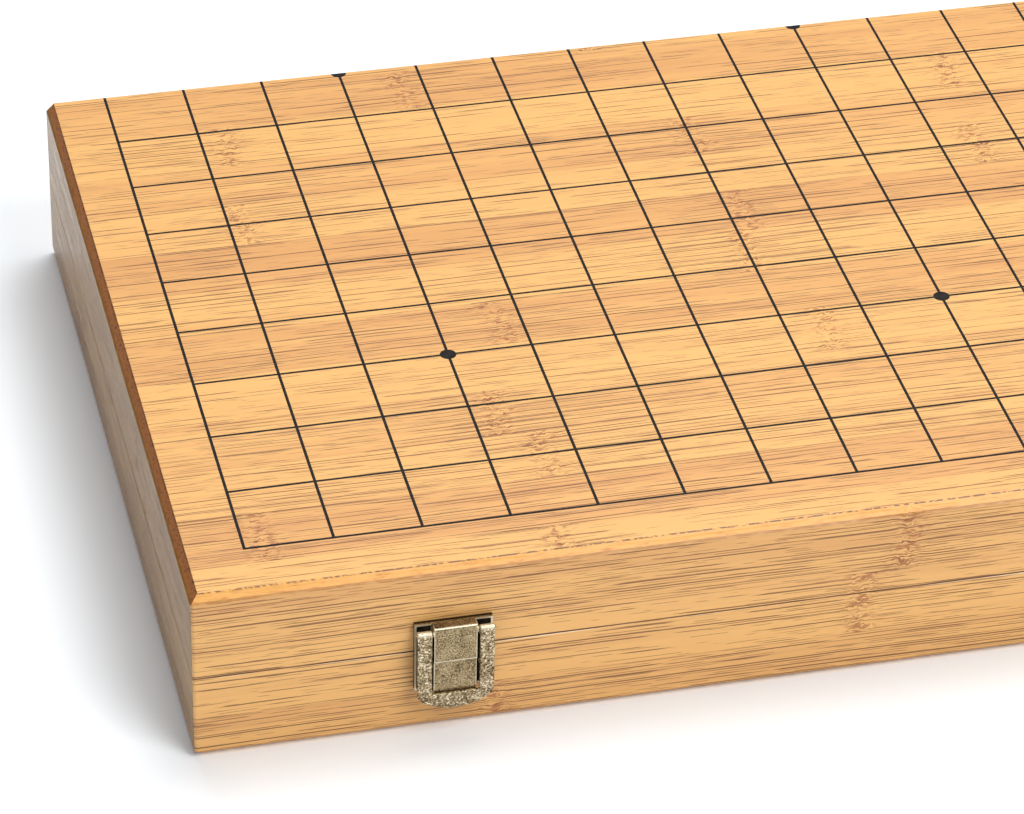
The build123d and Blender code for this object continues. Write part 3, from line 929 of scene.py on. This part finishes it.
steelLook = {"dark": srgb(120, 104, 74), "light": srgb(188, 170, 130), "relief": 0.00001,
             "roughness": (0.28, 0.45)}
magnetLook = {"dark": srgb(176, 176, 178), "light": srgb(214, 214, 212), "relief": 0.000004,
              "roughness": (0.12, 0.3)}
rubberLook = {"dark": srgb(44, 42, 40), "dusty": srgb(78, 74, 70), "relief": 0.00004,
              "roughness": (0.6, 0.85)}


def steelFinish():
    finish = Finish("screwMetal")
    x, y, z = finish.place()
    brushed = finish.noise(finish.times(x, 5.0), finish.times(y, 5.0), finish.times(z, 0.7), 3.0)
    colour = finish.mix(brushed, steelLook["dark"], steelLook["light"])
    return finish.set(Base_Color=colour, Metallic=1.0,
                      Roughness=finish.step(brushed, 0.3, 0.7, *steelLook["roughness"]),
                      Normal=finish.bump(brushed, steelLook["relief"]))


def magnetFinish():
    finish = Finish("magnetNickel")
    x, y, z = finish.place()
    haze = finish.noise(finish.times(y, 0.9), finish.times(z, 0.9), 0.0, 4.0)
    colour = finish.mix(haze, magnetLook["dark"], magnetLook["light"])
    return finish.set(Base_Color=colour, Metallic=1.0,
                      Roughness=finish.step(haze, 0.3, 0.7, *magnetLook["roughness"]),
                      Normal=finish.bump(haze, magnetLook["relief"]))


def rubberFinish():
    finish = Finish("footRubber")
    x, y, z = finish.place()
    grainy = finish.noise(finish.times(x, 3.0), finish.times(y, 3.0), finish.times(z, 3.0), 3.0, 0.7)
    dust = finish.noise(finish.times(x, 0.4), finish.times(y, 0.4), 0.0, 2.0)
    colour = finish.mix(finish.step(dust, 0.45, 0.8), rubberLook["dark"], rubberLook["dusty"])
    return finish.set(Base_Color=colour,
                      Roughness=finish.step(grainy, 0.3, 0.7, *rubberLook["roughness"]),
                      Normal=finish.bump(grainy, rubberLook["relief"]))


def dress(finish, *names):
    for name in names:
        slots = nodes[name].data.materials
        if not slots:
            slots.append(finish)
        for index in range(len(slots)):
            slots[index] = finish


def dressCase():
    railsAlong = woodFinish("railAlong", "x", "z", 6.5, 51.0)
    railsAcross = woodFinish("railAcross", "y", "z", 6.5, 52.0)
    panel = woodFinish("innerPanel", "x", "y", 19.7, 53.0)
    drawerEnd = woodFinish("drawerFront", "y", "z", 19.7, 54.0)
    drawerLong = woodFinish("drawerLong", "x", "z", 12.0, 55.0)
    drawerFloor = woodFinish("drawerFloor", "x", "y", 19.7, 56.0)
    drawerShort = woodFinish("drawerShort", "y", "z", 12.0, 57.0)
    front, sides = frontFinish(), sideFinish()
    ink, steel, magnet, rubber = inkFinish(), steelFinish(), magnetFinish(), rubberFinish()
    plate = brassFinish("antiquePlate", "plain")
    # the cast brass carries a painted highlight on the barrels' tops
    cast = brassFinish("antiqueCast", "cast", barrelTopHighlight("left_latch_bail"))
    for side in ("upper", "lower"):
        dress(playFaceFinish(side), side + "_play_veneer")
        dress(coreFinish(side), side + "_core_panel")
        dress(ink, side + "_grid_lines")
        dress(front, side + "_front_veneer")
        dress(sides, side + "_side_veneers")
        dress(railsAlong, side + "_front_rail", side + "_back_rail")
        dress(railsAcross, side + "_left_rail", side + "_right_lip")
        dress(panel, side + "_inner_panel")
        dress(drawerEnd, side + "_drawer_front")
        dress(drawerLong, side + "_drawer_side_front", side + "_drawer_side_back")
        dress(drawerFloor, side + "_drawer_bottom")
        dress(drawerShort, side + "_drawer_back")
        dress(magnet, side + "_case_magnet", side + "_drawer_magnet")
        dress(rubber, side + "_feet")
        dress(plate, side + "_drawer_knob")
        dress(steel, side + "_drawer_knob_screw", "latch_" + side + "_screws")
        for end in ("left", "right"):
            dress(plate, end + "_hinge_" + side + "_leaf")
    for end in ("left", "right"):
        dress(plate, end + "_hinge_pin", end + "_latch_pins")
        for part in ("flap", "keeper"):
            node = end + "_latch_" + part + "_plate"
            # the latch plates carry painted highlights and painted shade
            dress(brassFinish(node, "latch", platePaintedLight(node, part)), node)
    makeBails(cast)
    makeHingeScrews(steel)


# the studio

studio = {
    "floorSize": 12.0,
    "floorTones": ((0.85, 0.89, 0.93, 1.0), (0.87, 0.91, 0.95, 1.0)),
    "floorCloud": 0.002,
    "floorRoughness": 0.7,
    "floorSheen": 0.2,
    "skyLeft": 0.19,
    "skyRight": 0.45,
    "skyFade": (-0.9, 0.6),  # where along X the sky's change begins and ends
    "floorGlow": 0.10,
    "key": {"place": (0.62, -1.2, 1.6), "size": 1.1, "power": 26.0, "colour": (1.0, 0.99, 0.97)},
    "top": {"place": (0.28, 0.7, 1.95), "size": 1.5, "power": 32.0, "colour": (1.0, 1.0, 1.0)},
}


def makeStudio(look):
    scene = bpy.context.scene
    scene.view_settings.view_transform = "Standard"
    side = look["floorSize"] / 2
    mesh = bpy.data.meshes.new("floor")
    corners = [(-side, -side, 0.0), (side, -side, 0.0), (side, side, 0.0), (-side, side, 0.0)]
    mesh.from_pydata(corners, [], [(0, 1, 2, 3)])
    floor = bpy.data.objects.new("floor", mesh)
    scene.collection.objects.link(floor)
    paint = Finish("floorPaint")
    x, y, z = paint.place()
    cloud = paint.noise(paint.times(x, look["floorCloud"]), paint.times(y, look["floorCloud"]))
    colour = paint.mix(cloud, *look["floorTones"])
    mesh.materials.append(paint.set(Base_Color=colour, Roughness=look["floorRoughness"],
                                    Specular_IOR_Level=look["floorSheen"],
                                    Emission_Color=(1.0, 1.0, 1.0, 1.0),
                                    Emission_Strength=look["floorGlow"]))

    world = bpy.data.worlds.new("studio")
    world.use_nodes = True
    sky = world.node_tree
    background = sky.nodes["Background"]
    background.inputs[0].default_value = (1.0, 1.0, 1.0, 1.0)
    direction = sky.nodes.new("ShaderNodeTexCoord")
    split = sky.nodes.new("ShaderNodeSeparateXYZ")
    fade = sky.nodes.new("ShaderNodeMapRange")
    limits = (*look["skyFade"], look["skyLeft"], look["skyRight"])
    for name, value in zip(("From Min", "From Max", "To Min", "To Max"), limits):
        fade.inputs[name].default_value = value
    sky.links.new(direction.outputs["Generated"], split.inputs[0])
    sky.links.new(split.outputs[0], fade.inputs["Value"])
    sky.links.new(fade.outputs[0], background.inputs[1])
    scene.world = world
    for name in ("key", "top"):
        lamp = look[name]
        light = bpy.data.lights.new(name, "AREA")
        light.shape = "DISK"
        light.size = lamp["size"]
        light.energy = lamp["power"]
        light.color = lamp["colour"]
        hung = bpy.data.objects.new(name, light)
        scene.collection.objects.link(hung)
        spot = Matrix.Translation(lamp["place"])
        aim = (-spot.translation).to_track_quat("-Z", "Y").to_matrix().to_4x4()
        hung.matrix_world = spot @ aim


makeCamera(cameraView)
makeStudio(studio)
print("camera and studio made")
dressCase()
print("finishes made")
